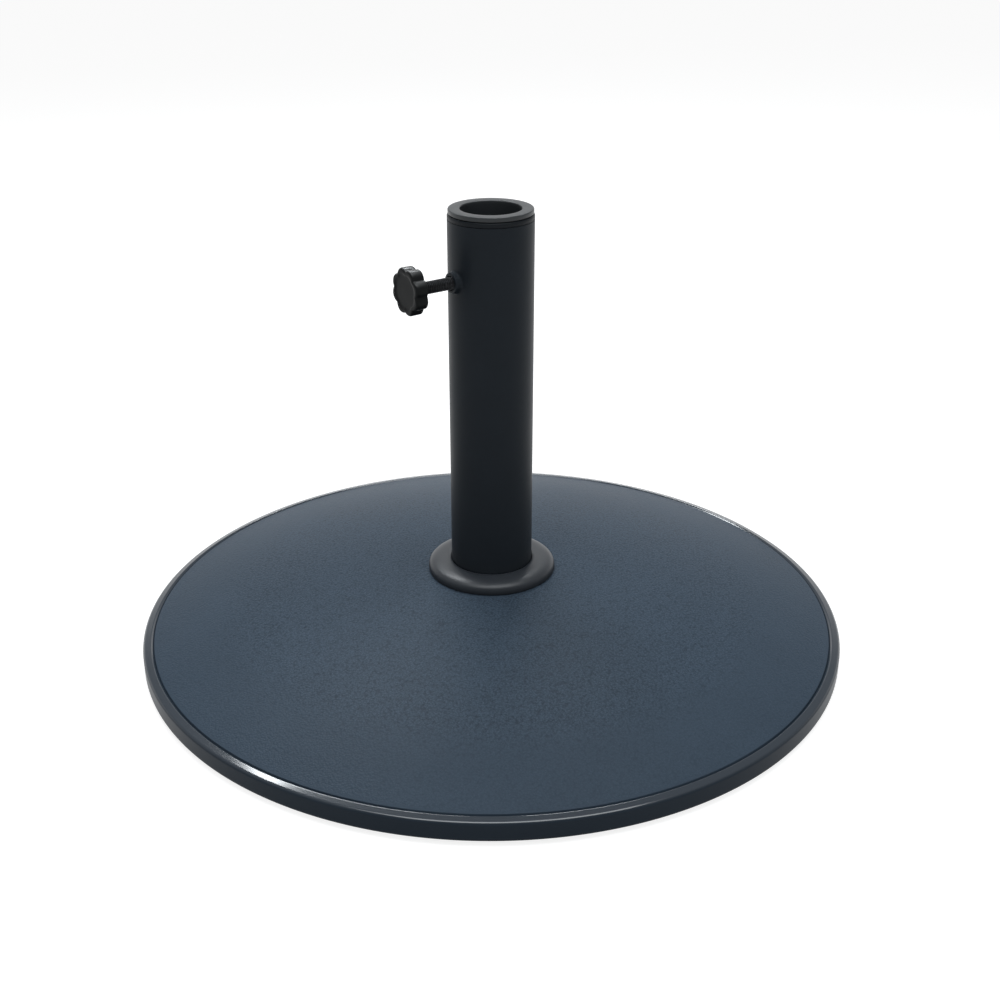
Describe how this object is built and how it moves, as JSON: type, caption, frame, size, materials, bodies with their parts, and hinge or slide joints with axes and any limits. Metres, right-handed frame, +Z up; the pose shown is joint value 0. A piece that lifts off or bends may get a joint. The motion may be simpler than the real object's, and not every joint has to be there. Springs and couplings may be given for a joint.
{
  "type": "parasol base",
  "caption": "Round weighted parasol base: low-domed textured disc with glossy rim, socket tube, pole reducer, cover ring and side clamping knob.",
  "frame": {"origin": "on the floor, under the axis of the socket tube", "axes": "+Z up along the socket tube; -X towards the clamping knob"},
  "size_m": [0.48, 0.48, 0.301],
  "materials": {
    "shell_plastic": "slate blue-black moulded plastic with fine pebble grain and a glossy rolled rim",
    "pan_plastic": "black moulded plastic, plain underside",
    "concrete": "cast grey concrete, hidden inside the shell",
    "ring_plastic": "satin black moulded plastic",
    "tube_paint": "satin black powder coat on steel",
    "mouth_plastic": "black moulded plastic collar",
    "reducer_plastic": "satin black moulded plastic",
    "knob_plastic": "satin black moulded plastic",
    "screw_steel": "black oxide threaded steel",
    "zinc_steel": "bright zinc plated steel",
    "pad_nylon": "natural nylon",
    "foot_rubber": "black rubber"
  },
  "bodies": {
    "base": {"base_top_shell": "shell_plastic", "base_bottom_pan": "pan_plastic", "concrete_ballast": "concrete", "socket_tube": "tube_paint", "knob_bush": "tube_paint", "tube_end_plate": "tube_paint", "mouth_cap": "mouth_plastic", "anchor_bolt": "zinc_steel", "anchor_nut": "zinc_steel", "anchor_washer": "zinc_steel", "anchor_spring_washer": "zinc_steel", "bolt_sleeve": "zinc_steel", "pan_screw_1": "zinc_steel", "foot_pad_1": "foot_rubber", "pan_screw_2": "zinc_steel", "foot_pad_2": "foot_rubber", "pan_screw_3": "zinc_steel", "foot_pad_3": "foot_rubber", "pan_screw_4": "zinc_steel", "foot_pad_4": "foot_rubber", "pan_screw_5": "zinc_steel", "foot_pad_5": "foot_rubber", "pan_screw_6": "zinc_steel", "foot_pad_6": "foot_rubber"},
    "pressure_tip": {"pressure_pad": "pad_nylon"},
    "clamp_knob": {"knob_screw": "screw_steel", "knob_body": "knob_plastic"},
    "reducer": {"reducer_sleeve": "reducer_plastic"},
    "ring": {"cover_ring": "ring_plastic"}
  },
  "joints": [
    {"name": "screw_travel", "type": "slide", "parent": "base", "child": "pressure_tip", "axis": [1, 0, 0], "range_m": [0, 0.0225]},
    {"name": "knob_spin", "type": "hinge", "parent": "pressure_tip", "child": "clamp_knob", "pos_m": [-0.055, 0, 0.2578], "axis": [1, 0, 0], "range_deg": [0, 6480]},
    {"name": "reducer_lift", "type": "slide", "parent": "base", "child": "reducer", "axis": [0, 0, 1], "range_m": [0, 0.08]},
    {"name": "cover_ring_lift", "type": "slide", "parent": "base", "child": "ring", "axis": [0, 0, 1], "range_m": [0, 0.18]}
  ],
  "couplings": [
    {"joint": "screw_travel", "follows": "knob_spin", "m_per_rad": 0.00019894}
  ]
}
